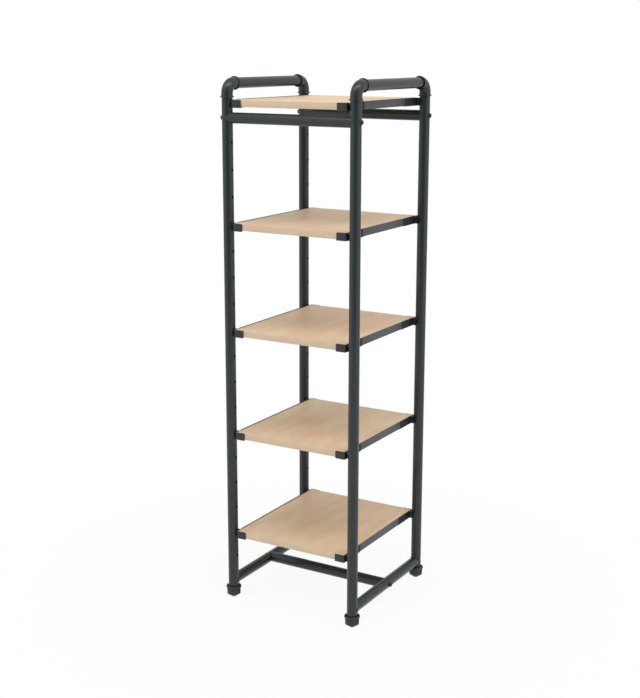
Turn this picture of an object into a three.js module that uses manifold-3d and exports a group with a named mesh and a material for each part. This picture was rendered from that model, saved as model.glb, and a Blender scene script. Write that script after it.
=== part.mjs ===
// Open shelving unit on a round tube frame, in millimetres, +Z up, front facing -Y.
// The origin is the middle of the footprint, on the floor under the foot pads.
import * as THREE from 'three';
import { mergeVertices } from 'three/addons/utils/BufferGeometryUtils.js';
import Module from 'manifold-3d';

const wasm = await Module();
wasm.setup();

// Frame tube
const tubeDiameter = 30;
const tubeWall = 1.5;
const postSpacingX = 400;
const postSpacingY = 400;
const handleAxisHeight = 1489;
const seatAboveCrossTube = 12.2;
const baseRailAboveFoot = 3;

// Elbow fittings at the top corners
const elbowOverTube = 1;
const elbowBendRadius = 28;
const elbowLegLength = 7.25;
const elbowBeadOverTube = 3.8;
const elbowBeadLength = 7.5;
const elbowMouthFlare = 1.6;
const elbowMouthDepth = 5;
const elbowSpigotLength = 20;

// Foot caps
const footWall = 4.7;
const footBeadRise = 2.4;
const footBeadLength = 6;
const footHeight = 34.5;
const footPadDiameter = 19;
const footPadHeight = 5;
const footBottomRound = 5;
const footSocketFloor = 7;
const footMouthFlare = 3.2;
const footMouthDepth = 9;

// Peg holes up the inner face of every post
const pegHoleFirstHeight = 131;
const pegHolePitch = 75;
const pegHoleTopMargin = 60;
const pegDiameter = 8;

// Shelves
const pitchedShelfCount = 4;
const topShelfBelowElbow = 4;
const shelfSideGap = 5.7;
const shelfOverhang = 11;
const boardThickness = 19;
const boardEdgeRound = 1.2;
const barFlangeWidth = 18;
const barFlangeThickness = 1.5;
const skirtThickness = 2;

// Corner seats that carry a shelf
const seatArmLength = 93;
const seatFrontLength = 30;
const seatFloorThickness = 2.5;
const seatArmLip = 14;
const seatFrontLip = 24;
const seatLugWidth = 16;
const pegCover = 0.5;
const pegReachInPost = 4.5;

// Bolts that hold the cross tubes
const boltDiameter = 8;
const boltHeadDiameter = 14;
const boltHeadHeight = 6;
const boltDomeHeight = 4.5;
const boltKeyAcrossCorners = 5.8;
const boltKeyDepth = 3;
const boltGrip = 18;
const plugLength = 26;

// Clearances between pieces
const slipGap = 0.3;
const holeClearance = 0.3;

// Facets round a circle and along a quarter arc
const tubeSides = 24;
const headSides = 16;
const smallSides = 8;
const bendSteps = 9;
const arcSteps = 2;
const hexSides = 6;

// Sizes that follow from the ones above
const half = (length) => length / 2;
const quarterTurn = Math.PI / 2;
const fullTurn = Math.PI * 2;
const tubeRadius = half(tubeDiameter);
const boreRadius = tubeRadius - tubeWall;
const postX = half(postSpacingX);
const postY = half(postSpacingY);
const elbowDiameter = tubeDiameter + elbowOverTube * 2;
const elbowBeadDiameter = tubeDiameter + elbowBeadOverTube * 2;
const elbowReach = elbowBendRadius + elbowLegLength + half(elbowBeadLength);
const socketRadius = tubeRadius + slipGap;
const footBodyRadius = socketRadius + footWall;
const elbowSocketFloor = elbowReach - elbowMouthDepth;
const postTop = handleAxisHeight - elbowSocketFloor - slipGap;
const postBottom = footPadHeight + footSocketFloor;
const shelfWidth = postSpacingX - tubeDiameter - shelfSideGap * 2;
const shelfDepth = postSpacingY + shelfOverhang * 2;
const seatHeight = boardThickness + slipGap + seatFloorThickness;
const topShelfHeight = handleAxisHeight - elbowReach - topShelfBelowElbow;
const crossTubeHeight = topShelfHeight - seatHeight - seatAboveCrossTube - tubeRadius;
const baseRailHeight = footHeight + baseRailAboveFoot + tubeRadius;
const pegDropBelowTop = half(pegDiameter) + pegCover;

// The holes fill the post up to the cross tube, and the shelves share them evenly
const pegHoleRun = crossTubeHeight - pegHoleTopMargin - pegHoleFirstHeight;
const pegHoleCount = Math.floor(pegHoleRun / pegHolePitch) + 1;
const shelfPitchStep = Math.floor(pegHoleCount / pitchedShelfCount);
const lowestShelfPitch = pegHoleCount - shelfPitchStep * pitchedShelfCount;

// Makes a closed solid from a geometry.
function solidOf(geometry) {
  const bare = new THREE.BufferGeometry();
  bare.setAttribute('position', geometry.getAttribute('position'));
  if (geometry.index) {
    bare.setIndex(geometry.index);
  }
  const merged = mergeVertices(bare);
  return new wasm.Manifold(new wasm.Mesh({
    numProp: 3,
    vertProperties: new Float32Array(merged.attributes.position.array),
    triVerts: new Uint32Array(merged.index.array),
  }));
}

// Turns a solid back into a named mesh with its own material.
function meshOf(name, solid, finish) {
  const data = solid.getMesh();
  const geometry = new THREE.BufferGeometry();
  geometry.setAttribute('position', new THREE.BufferAttribute(data.vertProperties, 3));
  geometry.setIndex(new THREE.BufferAttribute(data.triVerts, 1));
  geometry.computeVertexNormals();
  const mesh = new THREE.Mesh(geometry, new THREE.MeshStandardMaterial(finish));
  mesh.name = name;
  return mesh;
}

// Finishes read from the object
const powderCoat = { color: 0x43494b, roughness: 0.45, metalness: 0.3 };
const barSteel = { color: 0x5a5c5f, roughness: 0.5, metalness: 0.3 };
const blackNylon = { color: 0x262829, roughness: 0.55, metalness: 0 };
const paleWood = { color: 0xd0b391, roughness: 0.55, metalness: 0 };
const blackBolt = { color: 0x34383a, roughness: 0.4, metalness: 0.5 };

// A solid turned about Z from an outline of [radius, height] pairs.
function turned(outline, sides) {
  const points = outline.map(([radius, height]) => new THREE.Vector2(radius, height));
  const geometry = new THREE.LatheGeometry(points, sides);
  geometry.rotateX(quarterTurn);
  return geometry;
}

// Points of an elliptical arc, as [radius, height] pairs.
function arcPoints(centre, radii, startAngle, endAngle, steps) {
  return Array.from({ length: steps + 1 }, (_, i) => {
    const angle = startAngle + ((endAngle - startAngle) * i) / steps;
    return [centre[0] + radii[0] * Math.cos(angle), centre[1] + radii[1] * Math.sin(angle)];
  });
}

// A rod of given radius along Z between two heights.
function rod(radius, low, high, sides) {
  return turned([[0, low], [radius, low], [radius, high], [0, high]], sides);
}

// A hollow tube along Z between two heights.
function hollowTube(low, high) {
  const outline = [
    [tubeRadius, low],
    [tubeRadius, high],
    [boreRadius, high],
    [boreRadius, low],
    [tubeRadius, low],
  ];
  return turned(outline, tubeSides);
}

// Lays geometry that runs along Z so that it runs along X.
function alongX(geometry) {
  geometry.rotateY(quarterTurn);
  return geometry;
}

// Lays geometry that runs along Z so that it runs along Y.
function alongY(geometry) {
  geometry.rotateX(-quarterTurn);
  return geometry;
}

// A block between two opposite corners.
function block(from, to) {
  const size = from.map((value, axis) => Math.abs(to[axis] - value));
  const centre = from.map((value, axis) => half(value + to[axis]));
  const geometry = new THREE.BoxGeometry(...size);
  geometry.translate(...centre);
  return solidOf(geometry);
}

// Heights of the peg holes in a post, the top shelf's own hole last.
function pegHeights() {
  const pitched = Array.from(
    { length: pegHoleCount },
    (_, i) => pegHoleFirstHeight + pegHolePitch * i,
  );
  return [...pitched, topShelfHeight - pegDropBelowTop];
}

// Post tube, with peg holes in the wall that faces the other side frame.
function postSolid(side) {
  const inward = -side;
  let post = solidOf(hollowTube(postBottom, postTop));
  for (const height of pegHeights()) {
    const drill = alongX(rod(half(pegDiameter) + holeClearance, 0, tubeDiameter, smallSides));
    drill.scale(inward, 1, inward);
    drill.translate(0, 0, height);
    post = post.subtract(solidOf(drill));
  }
  const boltDrill = alongX(rod(
    half(boltDiameter) + holeClearance,
    -tubeDiameter,
    tubeDiameter,
    smallSides,
  ));
  boltDrill.translate(0, 0, crossTubeHeight);
  return post.subtract(solidOf(boltDrill));
}

// Rounded ring at the end of a fitting, from low to high along Z, filled to the axis.
function bead(diameter, low, high) {
  const rise = half(high - low);
  const middle = half(low + high);
  const inner = half(diameter) - rise;
  const round = arcPoints([inner, middle], [rise, rise], -quarterTurn, quarterTurn, arcSteps * 2);
  return turned([[0, low], ...round, [0, high]], tubeSides);
}

// Middle line of an elbow: a straight leg up, a quarter circle, and a straight leg along +Y.
class ElbowPath extends THREE.Curve {
  constructor(bendRadius, leg) {
    super();
    this.bendRadius = bendRadius;
    this.leg = leg;
  }

  getPoint(share) {
    const bendLength = this.bendRadius * quarterTurn;
    const travelled = share * (bendLength + this.leg * 2) - this.leg;
    const before = Math.min(travelled, 0);
    const after = Math.max(travelled - bendLength, 0);
    const angle = THREE.MathUtils.clamp(travelled / this.bendRadius, 0, quarterTurn);
    const along = this.bendRadius * (1 - Math.cos(angle));
    const up = this.bendRadius * Math.sin(angle);
    return new THREE.Vector3(0, along + after, up + before);
  }
}

// Flared mouth of an elbow, along Z, that a tube's end stands in.
function elbowMouth() {
  return turned([
    [0, elbowSocketFloor],
    [socketRadius, elbowSocketFloor],
    [socketRadius + elbowMouthFlare, elbowReach],
    [socketRadius + elbowMouthFlare, elbowReach + elbowMouthDepth],
    [0, elbowReach + elbowMouthDepth],
  ], tubeSides);
}

// Elbow at the head of a front post, its origin where the two tube axes cross.
// The upright spigot has a pocket for the peg of the top shelf, on the given side.
function elbowSolid(pocketSide) {
  const section = new THREE.Shape();
  section.absarc(0, 0, half(elbowDiameter), 0, fullTurn, false);
  const bend = new THREE.ExtrudeGeometry(section, {
    steps: bendSteps,
    curveSegments: half(tubeSides),
    bevelEnabled: false,
    extrudePath: new ElbowPath(elbowBendRadius, elbowLegLength),
  });
  bend.translate(0, 0, -elbowBendRadius);
  const spigotRadius = boreRadius - slipGap;
  const spigotEnd = elbowReach + elbowSpigotLength;
  const beadStart = elbowReach - elbowBeadLength;
  const uprightBead = bead(elbowBeadDiameter, -elbowReach, -beadStart);
  const uprightSpigot = rod(spigotRadius, -spigotEnd, -beadStart, tubeSides);
  const levelBead = alongY(bead(elbowBeadDiameter, beadStart, elbowReach));
  const levelSpigot = alongY(rod(spigotRadius, beadStart, spigotEnd, tubeSides));
  const uprightMouth = elbowMouth();
  uprightMouth.rotateX(Math.PI);
  const levelMouth = alongY(elbowMouth());
  const pocketFloor = boreRadius - pegReachInPost - slipGap;
  const pocket = alongX(rod(half(pegDiameter) + holeClearance, pocketFloor, tubeDiameter, smallSides));
  pocket.scale(pocketSide, 1, pocketSide);
  pocket.translate(0, 0, topShelfHeight - pegDropBelowTop - handleAxisHeight);
  return solidOf(bend)
    .add(solidOf(uprightBead))
    .add(solidOf(levelBead))
    .subtract(solidOf(uprightMouth))
    .subtract(solidOf(levelMouth))
    .add(solidOf(uprightSpigot))
    .add(solidOf(levelSpigot))
    .subtract(solidOf(pocket));
}

// Foot cap: a cup round the end of a post, with a rolled rim and a small pad under it.
function footSolid() {
  const padRadius = half(footPadDiameter);
  const rimRise = half(footBeadLength);
  const rimMiddle = footHeight - rimRise;
  const rimInner = footBodyRadius + footBeadRise - rimRise;
  const underRadius = footBodyRadius - footBottomRound;
  const underRound = arcPoints(
    [underRadius, footPadHeight + footBottomRound],
    [footBottomRound, footBottomRound],
    -quarterTurn,
    0,
    arcSteps,
  );
  const rim = arcPoints(
    [rimInner, rimMiddle],
    [rimRise, rimRise],
    -quarterTurn,
    quarterTurn,
    arcSteps * 2,
  );
  const outline = [
    [0, 0],
    [padRadius, 0],
    [padRadius, footPadHeight],
    ...underRound,
    [footBodyRadius, footHeight - footBeadLength],
    ...rim.slice(1),
    [socketRadius + footMouthFlare, footHeight],
    [socketRadius, footHeight - footMouthDepth],
    [socketRadius, postBottom],
    [0, postBottom],
  ];
  return solidOf(turned(outline, tubeSides));
}

// Level tube between two upright or level tubes, its ends shaped to sit round them.
function copedTube(span, neighbour) {
  const tube = solidOf(alongX(hollowTube(-half(span), half(span))));
  return copeEnds(tube, span, neighbour);
}

// Cuts both ends of a solid that runs along X to the round of its neighbours.
function copeEnds(solid, span, neighbour) {
  return [-half(span), half(span)].reduce((rest, x) => {
    const cutter = neighbour(tubeRadius + slipGap);
    cutter.translate(x, 0, 0);
    return rest.subtract(solidOf(cutter));
  }, solid);
}

// Cutters for the two ways a neighbour can run.
function uprightNeighbour(radius) {
  return rod(radius, -tubeDiameter, tubeDiameter, tubeSides);
}

function levelNeighbour(radius) {
  return alongY(rod(radius, -tubeDiameter, tubeDiameter, tubeSides));
}

// Cross tube with a threaded plug welded into each end for its bolts.
function crossTubeSolid(span, neighbour) {
  let tube = solidOf(alongX(hollowTube(-half(span), half(span))));
  const plugEnd = half(span) - tubeRadius - plugLength;
  for (const side of [-1, 1]) {
    const plug = alongX(rod(boreRadius + half(tubeWall), plugEnd, half(span), tubeSides));
    const bore = alongX(rod(half(boltDiameter) + holeClearance, half(plugEnd), span, smallSides));
    plug.scale(side, 1, side);
    bore.scale(side, 1, side);
    tube = tube.add(solidOf(plug)).subtract(solidOf(bore));
  }
  return copeEnds(tube, span, neighbour);
}

// Bolt with a domed head that hugs the round tube, lying along X, head outwards at +X.
function boltSolid(neighbour) {
  const headRadius = half(boltHeadDiameter);
  const headTop = tubeRadius + boltHeadHeight;
  const domeBase = headTop - boltDomeHeight;
  const tip = -tubeRadius - boltGrip;
  const dome = arcPoints([0, domeBase], [headRadius, boltDomeHeight], 0, quarterTurn, arcSteps + 1);
  const headOutline = [[0, 0], [headRadius, 0], ...dome.slice(0, -1), [0, headTop]];
  const head = solidOf(alongX(turned(headOutline, headSides)));
  const keyRadius = half(boltKeyAcrossCorners);
  const key = solidOf(alongX(rod(keyRadius, headTop - boltKeyDepth, headTop + boltKeyDepth, hexSides)));
  const saddle = solidOf(neighbour(tubeRadius + slipGap));
  const shank = solidOf(alongX(rod(half(boltDiameter), tip, domeBase, smallSides)));
  return head.subtract(saddle).add(shank).subtract(key);
}

// Shelf board, its top face at the origin's height.
function boardSolid() {
  const flatHalfWidth = half(shelfWidth) - skirtThickness - slipGap - boardEdgeRound;
  const flatHalfDepth = half(shelfDepth) - skirtThickness - slipGap - boardEdgeRound;
  const plan = new THREE.Shape();
  plan.moveTo(-flatHalfWidth, -flatHalfDepth);
  plan.lineTo(flatHalfWidth, -flatHalfDepth);
  plan.lineTo(flatHalfWidth, flatHalfDepth);
  plan.lineTo(-flatHalfWidth, flatHalfDepth);
  const board = new THREE.ExtrudeGeometry(plan, {
    depth: boardThickness - boardEdgeRound * 2,
    bevelThickness: boardEdgeRound,
    bevelSize: boardEdgeRound,
    bevelSegments: arcSteps,
  });
  board.translate(0, 0, boardEdgeRound - boardThickness);
  return solidOf(board);
}

// Angle bar along one side edge of a board, between the arms of the corner seats.
function sideBarSolid(side) {
  const outer = half(shelfWidth);
  const reach = half(shelfDepth) - seatArmLength - slipGap;
  const low = -boardThickness - barFlangeThickness;
  const web = block(
    [side * outer, -reach, low],
    [side * (outer - skirtThickness), reach, 0],
  );
  const flange = block(
    [side * outer, -reach, low],
    [side * (outer - barFlangeWidth), reach, -boardThickness],
  );
  return web.add(flange);
}

// Corner seat: floor, two walls, a lug coped to the post and a peg in the post's hole.
function seatSolid(sideX, sideY) {
  const outerX = half(shelfWidth);
  const outerY = half(shelfDepth);
  const lugHalf = half(seatLugWidth);
  const corner = (inX, inY, z) => [sideX * (outerX - inX), sideY * (outerY - inY), z];
  const floorTop = seatFloorThickness - seatHeight;
  const pieces = [
    block(corner(0, 0, -seatHeight), corner(seatArmLip, seatArmLength, floorTop)),
    block(corner(0, 0, -seatHeight), corner(seatFrontLength, seatFrontLip, floorTop)),
    block(corner(0, 0, -seatHeight), corner(skirtThickness, seatArmLength, 0)),
    block(corner(0, 0, -seatHeight), corner(seatFrontLength, skirtThickness, 0)),
    block(
      [sideX * (outerX - skirtThickness), sideY * postY - lugHalf, -seatHeight],
      [sideX * postX, sideY * postY + lugHalf, 0],
    ),
  ];
  const cope = rod(tubeRadius + slipGap, -tubeDiameter, tubeDiameter, tubeSides);
  cope.translate(sideX * postX, sideY * postY, 0);
  const seat = pieces.reduce((whole, piece) => whole.add(piece)).subtract(solidOf(cope));
  const pegStart = outerX - skirtThickness;
  const pegEnd = postX - boreRadius + pegReachInPost;
  const peg = alongX(rod(half(pegDiameter), pegStart, pegEnd, smallSides));
  peg.scale(sideX, 1, sideX);
  peg.translate(0, sideY * postY, -pegDropBelowTop);
  return seat.add(solidOf(peg));
}

const sides = [{ word: 'left', x: -1 }, { word: 'right', x: 1 }];
const ends = [{ word: 'front', y: -1 }, { word: 'rear', y: 1 }];

// One side frame: two posts, two elbows, the handle tube, the base rail and two feet.
function sideFrame(side) {
  const frame = new THREE.Group();
  frame.name = `side_frame_${side.word}`;
  frame.position.x = side.x * postX;
  for (const end of ends) {
    const place = `${end.word}_${side.word}`;
    const post = meshOf(`post_${place}`, postSolid(side.x), powderCoat);
    const elbow = meshOf(`elbow_${place}`, elbowSolid(side.x * end.y), powderCoat);
    const foot = meshOf(`foot_cap_${place}`, footSolid(), blackNylon);
    post.position.y = end.y * postY;
    foot.position.y = end.y * postY;
    elbow.position.set(0, end.y * postY, handleAxisHeight);
    elbow.rotation.z = end.y > 0 ? Math.PI : 0;
    frame.add(post, elbow, foot);
  }
  const handleLength = postSpacingY - (elbowSocketFloor + slipGap) * 2;
  const handle = solidOf(alongY(hollowTube(-half(handleLength), half(handleLength))));
  const handleMesh = meshOf(`handle_tube_${side.word}`, handle, powderCoat);
  handleMesh.position.z = handleAxisHeight;
  frame.add(handleMesh, baseRail(side));
  return frame;
}

// Base rail of a side frame, drilled through its middle for the bolt.
function baseRail(side) {
  const drill = alongY(rod(half(boltDiameter) + holeClearance, -tubeDiameter, tubeDiameter, smallSides));
  const rail = copedTube(postSpacingY, uprightNeighbour).subtract(solidOf(drill));
  const mesh = meshOf(`base_rail_${side.word}`, rail, powderCoat);
  mesh.rotation.z = quarterTurn;
  mesh.position.z = baseRailHeight;
  return mesh;
}

// Cross tubes at the top, front and rear, with a bolt through each post.
function topCrossTubes() {
  const group = new THREE.Group();
  group.name = 'top_cross_tubes';
  group.position.z = crossTubeHeight;
  for (const end of ends) {
    const solid = crossTubeSolid(postSpacingX, uprightNeighbour);
    const tube = meshOf(`top_cross_tube_${end.word}`, solid, powderCoat);
    tube.position.y = end.y * postY;
    group.add(tube);
    for (const side of sides) {
      const name = `top_bolt_${end.word}_${side.word}`;
      group.add(placedBolt(name, uprightNeighbour, side, end.y * postY));
    }
  }
  return group;
}

// Cross rail at the base, bolted between the two base rails.
function baseCrossRail() {
  const group = new THREE.Group();
  group.name = 'base_cross';
  group.position.z = baseRailHeight;
  const solid = crossTubeSolid(postSpacingX, levelNeighbour);
  group.add(meshOf('base_cross_rail', solid, powderCoat));
  for (const side of sides) {
    group.add(placedBolt(`base_bolt_${side.word}`, levelNeighbour, side, 0));
  }
  return group;
}

// A bolt with its head on the outer side of a tube.
function placedBolt(name, neighbour, side, y) {
  const mesh = meshOf(name, boltSolid(neighbour), blackBolt);
  mesh.position.set(side.x * postX, y, 0);
  mesh.rotation.z = side.x < 0 ? Math.PI : 0;
  return mesh;
}

// One shelf: board, two side bars and the four seats under its corners.
function shelf(number, height) {
  const group = new THREE.Group();
  group.name = `shelf_${number}`;
  group.position.z = height;
  group.add(meshOf(`shelf_${number}_board`, boardSolid(), paleWood));
  for (const side of sides) {
    const barName = `shelf_${number}_side_bar_${side.word}`;
    group.add(meshOf(barName, sideBarSolid(side.x), barSteel));
    for (const end of ends) {
      const seatName = `shelf_${number}_seat_${end.word}_${side.word}`;
      group.add(meshOf(seatName, seatSolid(side.x, end.y), blackNylon));
    }
  }
  return group;
}

// Shelves numbered from the lowest up, the top one above the cross tubes.
function shelves() {
  const group = new THREE.Group();
  group.name = 'shelves';
  for (let i = 0; i < pitchedShelfCount; i += 1) {
    const hole = lowestShelfPitch + shelfPitchStep * i;
    const height = pegHoleFirstHeight + pegHolePitch * hole + pegDropBelowTop;
    group.add(shelf(i + 1, height));
  }
  group.add(shelf(pitchedShelfCount + 1, topShelfHeight));
  return group;
}

const unit = new THREE.Group();
unit.name = 'pipe_shelving_unit';
unit.add(...sides.map(sideFrame));
unit.add(topCrossTubes(), baseCrossRail(), shelves());

export default unit;
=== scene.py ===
"""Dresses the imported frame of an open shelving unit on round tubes, and lights it for its picture.

Everything is in metres, +Z up, with the front of the unit towards -Y.
"""

from __future__ import annotations

import logging
import math
from collections.abc import Callable, Iterator, Sequence
from contextlib import contextmanager
from dataclasses import dataclass, field
from enum import Enum
from functools import cached_property

import bmesh
import bpy
from bpy.types import ID, Material, Node, NodeSocket, NodeTree, Object
from mathutils import Matrix, Vector

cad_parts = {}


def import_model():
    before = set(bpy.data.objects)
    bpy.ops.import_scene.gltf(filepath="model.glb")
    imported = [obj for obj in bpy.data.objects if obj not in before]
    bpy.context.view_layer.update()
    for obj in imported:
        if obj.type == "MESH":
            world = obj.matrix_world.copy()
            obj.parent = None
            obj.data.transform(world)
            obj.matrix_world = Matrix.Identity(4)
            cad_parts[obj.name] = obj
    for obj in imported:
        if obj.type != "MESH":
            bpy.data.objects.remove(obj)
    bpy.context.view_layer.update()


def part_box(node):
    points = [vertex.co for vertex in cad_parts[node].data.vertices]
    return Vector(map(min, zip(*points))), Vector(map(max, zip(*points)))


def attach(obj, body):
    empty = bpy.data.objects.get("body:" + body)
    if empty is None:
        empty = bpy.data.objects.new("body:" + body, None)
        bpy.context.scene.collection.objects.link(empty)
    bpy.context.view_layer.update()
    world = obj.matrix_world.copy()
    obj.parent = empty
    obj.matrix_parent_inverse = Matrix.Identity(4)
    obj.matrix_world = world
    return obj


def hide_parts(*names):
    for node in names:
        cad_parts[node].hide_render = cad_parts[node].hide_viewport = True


LOG = logging.getLogger("shelving_unit")

MM = 0.001
TINY = 0.02 * MM
ROOT_BODY = "frame"

X_AXIS = Vector((1, 0, 0))
Y_AXIS = Vector((0, 1, 0))
Z_AXIS = Vector((0, 0, 1))

# A face looks along an axis when that part of its normal is larger than this
FACING = 0.9
# Edges that turn by more than the first angle are rounded, and faces that meet at less than the
# second are shaded as one curve
ROUNDED_FROM = math.radians(35)
SHADED_BELOW = math.radians(38)
# The middle point of a small rounding lies this share of its width from either face
KNEE = 0.3
# Nearly all the values of a noise lie between these
NOISE_SPAN = (0.3, 0.7)

Pair = tuple[float, float]
# A radius, and a place along the axis of a turned piece
Ring = Pair
# Takes a face's middle and normal, or an edge's two ends
Test = Callable[[Vector, Vector], bool]


class Side(Enum):
    """The left or right of the unit, as the sign of its X."""

    LEFT = -1
    RIGHT = 1

    @property
    def word(self) -> str:
        """The side as it stands in a piece's name."""
        return self.name.lower()


class End(Enum):
    """The front or rear of the unit, as the sign of its Y."""

    FRONT = -1
    REAR = 1

    @property
    def word(self) -> str:
        """The end as it stands in a piece's name."""
        return self.name.lower()


Places = dict[str, tuple[Side, End]]

SIDES: Places = {side.word: (side, End.FRONT) for side in Side}
CORNERS: Places = {f"{end.word}_{side.word}": (side, end) for end in End for side in Side}


# Modelling by hand


def deselect_all() -> None:
    """Leaves no object selected."""
    bpy.ops.object.select_all(action="DESELECT")


def take(piece: Object) -> None:
    """Makes a piece the only one selected, and the active one.

    Args:
        piece: The piece.
    """
    deselect_all()
    piece.select_set(True)
    bpy.context.view_layer.objects.active = piece


@contextmanager
def editing(piece: Object) -> Iterator[None]:
    """Opens a piece in edit mode with nothing selected, and closes it at the end.

    Args:
        piece: The mesh object to open.
    """
    take(piece)
    bpy.ops.object.mode_set(mode="EDIT")
    bpy.ops.mesh.select_mode(type="FACE")
    bpy.ops.mesh.select_all(action="DESELECT")
    yield
    bpy.ops.object.mode_set(mode="OBJECT")


def pick_faces(piece: Object, test: Test) -> None:
    """Selects the faces of the open piece that pass a test, and no others.

    Args:
        piece: The piece that is open in edit mode.
        test: Takes a face's middle and its normal.
    """
    bpy.ops.mesh.select_mode(type="FACE")
    bpy.ops.mesh.select_all(action="DESELECT")
    mesh = bmesh.from_edit_mesh(piece.data)
    mesh.normal_update()
    for face in mesh.faces:
        if test(face.calc_center_median(), face.normal):
            face.select_set(True)
    mesh.select_flush_mode()
    bmesh.update_edit_mesh(piece.data)


def pick_edges(piece: Object, test: Test) -> None:
    """Selects the edges of the open piece that pass a test, and no others.

    Args:
        piece: The piece that is open in edit mode.
        test: Takes the edge's two ends.
    """
    bpy.ops.mesh.select_mode(type="EDGE")
    bpy.ops.mesh.select_all(action="DESELECT")
    mesh = bmesh.from_edit_mesh(piece.data)
    for edge in mesh.edges:
        if test(edge.verts[0].co, edge.verts[1].co):
            edge.select_set(True)
    mesh.select_flush_mode()
    bmesh.update_edit_mesh(piece.data)


def settle(piece: Object, name: str) -> Object:
    """Names a piece and puts its place and turn into its mesh.

    Args:
        piece: The object to settle.
        name: Its name.

    Returns:
        The same object, now unturned at the origin.
    """
    take(piece)
    bpy.ops.object.transform_apply(location=True, rotation=True, scale=True)
    piece.name = name
    piece.data.name = name
    return piece


def slab(name: str, low: Vector, high: Vector) -> Object:
    """Adds a block that fills the space between two corners.

    Args:
        name: The new object's name.
        low: Its lowest corner.
        high: Its highest corner.

    Returns:
        The block.
    """
    deselect_all()
    bpy.ops.mesh.primitive_cube_add(size=1, location=(low + high) / 2)
    block = bpy.context.active_object
    block.scale = high - low
    return settle(block, name)


def rod(
    name: str,
    start: Vector,
    end: Vector,
    radius: float,
    sides: int,
    capped: bool = True,
) -> Object:
    """Adds a straight rod between two points.

    Args:
        name: The new object's name.
        start: The middle of one end.
        end: The middle of the other end.
        radius: The rod's radius.
        sides: How many facets it has round it.
        capped: Whether its ends are closed.

    Returns:
        The rod.
    """
    run = end - start
    deselect_all()
    bpy.ops.mesh.primitive_cylinder_add(
        vertices=sides,
        radius=radius,
        depth=run.length,
        end_fill_type="NGON" if capped else "NOTHING",
        location=(start + end) / 2,
        rotation=run.to_track_quat("Z", "Y").to_euler(),
    )
    return settle(bpy.context.active_object, name)


def disc(name: str, middle: Vector, facing: Vector, radius: float, sides: int) -> Object:
    """Adds a flat round face.

    Args:
        name: The new object's name.
        middle: The middle of the face.
        facing: The way that it faces.
        radius: Its radius.
        sides: How many edges it has.

    Returns:
        The disc.
    """
    deselect_all()
    bpy.ops.mesh.primitive_circle_add(
        vertices=sides,
        radius=radius,
        fill_type="NGON",
        location=middle,
        rotation=facing.to_track_quat("Z", "Y").to_euler(),
    )
    return settle(bpy.context.active_object, name)


def push(move: Vector) -> None:
    """Extrudes the selected faces of the open piece by a move."""
    bpy.ops.mesh.extrude_region_move(TRANSFORM_OT_translate={"value": move})


def split(axis: Vector, place: float) -> None:
    """Cuts an edge line round the whole open piece, square to an axis.

    Args:
        axis: One of the three main directions.
        place: Where the cut crosses it.
    """
    bpy.ops.mesh.select_all(action="SELECT")
    bpy.ops.mesh.bisect(plane_co=axis * place, plane_no=axis)


def near(first: float, second: float) -> bool:
    """Tells whether two measures are the same, apart from rounding."""
    return abs(first - second) < TINY


def grow(foot: Vector, along: Vector, rings: Sequence[Ring]) -> None:
    """Extrudes the selected round cap of the open piece through a row of rings.

    Args:
        foot: The point on the axis that places are measured from.
        along: The axis, one of the three main directions or its opposite.
        rings: A radius and a place along the axis for each ring. The first is where the cap is.
    """
    for (radius, place), (next_radius, next_place) in zip(rings, rings[1:]):
        push(along * (next_place - place))
        ratio = next_radius / radius
        bpy.ops.transform.resize(
            value=[1 if part else ratio for part in along],
            center_override=foot + along * next_place,
        )


def rounding(middle: Ring, reach: Pair, angles: Sequence[float]) -> list[Ring]:
    """Finds the points of a round or flattened corner in a turned outline.

    Args:
        middle: The radius and place of the curve's middle.
        reach: How far the curve reaches from it outwards and along the axis.
        angles: The points' angles in degrees, from straight outwards.

    Returns:
        The points.
    """
    return [
        (middle[0] + reach[0] * math.cos(a), middle[1] + reach[1] * math.sin(a))
        for a in map(math.radians, angles)
    ]


def face_outwards(piece: Object) -> None:
    """Merges doubled points and turns every face of a closed piece outwards.

    Args:
        piece: The piece.
    """
    with editing(piece):
        bpy.ops.mesh.select_all(action="SELECT")
        bpy.ops.mesh.remove_doubles(threshold=TINY / 10)
        bpy.ops.mesh.normals_make_consistent(inside=False)


def turned(
    name: str,
    foot: Vector,
    along: Vector,
    rings: Sequence[Ring],
    sides: int,
) -> Object:
    """Models a closed round piece from the rings of its outline.

    Args:
        name: The piece's name.
        foot: The point on the axis that places are measured from.
        along: The axis, one of the three main directions or its opposite.
        rings: A radius and a place along the axis for each ring.
        sides: How many facets it has round it.

    Returns:
        The piece.
    """
    radius, place = rings[0]
    piece = disc(name, foot + along * place, along, radius, sides)
    with editing(piece):
        bpy.ops.mesh.select_all(action="SELECT")
        grow(foot, along, rings)
    face_outwards(piece)
    return piece


def apply_modifier(piece: Object, kind: str, **settings: object) -> None:
    """Adds one modifier to a piece and applies it.

    Args:
        piece: The piece to change.
        kind: Blender's name for the kind of modifier.
        settings: The modifier's own settings.
    """
    take(piece)
    modifier = piece.modifiers.new(kind.lower(), kind)
    for key, value in settings.items():
        setattr(modifier, key, value)
    bpy.ops.object.modifier_apply(modifier=modifier.name)


def join(whole: Object, parts: Sequence[Object]) -> Object:
    """Joins several objects to one.

    Args:
        whole: The object that keeps its name.
        parts: The others.

    Returns:
        The joined object.
    """
    take(whole)
    for part in parts:
        part.select_set(True)
    bpy.ops.object.join()
    return whole


def carve(piece: Object, cutters: Sequence[Object]) -> None:
    """Cuts the shapes of some cutters out of a piece, and removes the cutters.

    Args:
        piece: The piece to cut.
        cutters: Closed shapes that don't touch each other.
    """
    cutter = join(cutters[0], cutters[1:])
    apply_modifier(piece, "BOOLEAN", operation="DIFFERENCE", solver="EXACT", object=cutter)
    bpy.data.objects.remove(cutter, do_unlink=True)


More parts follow.
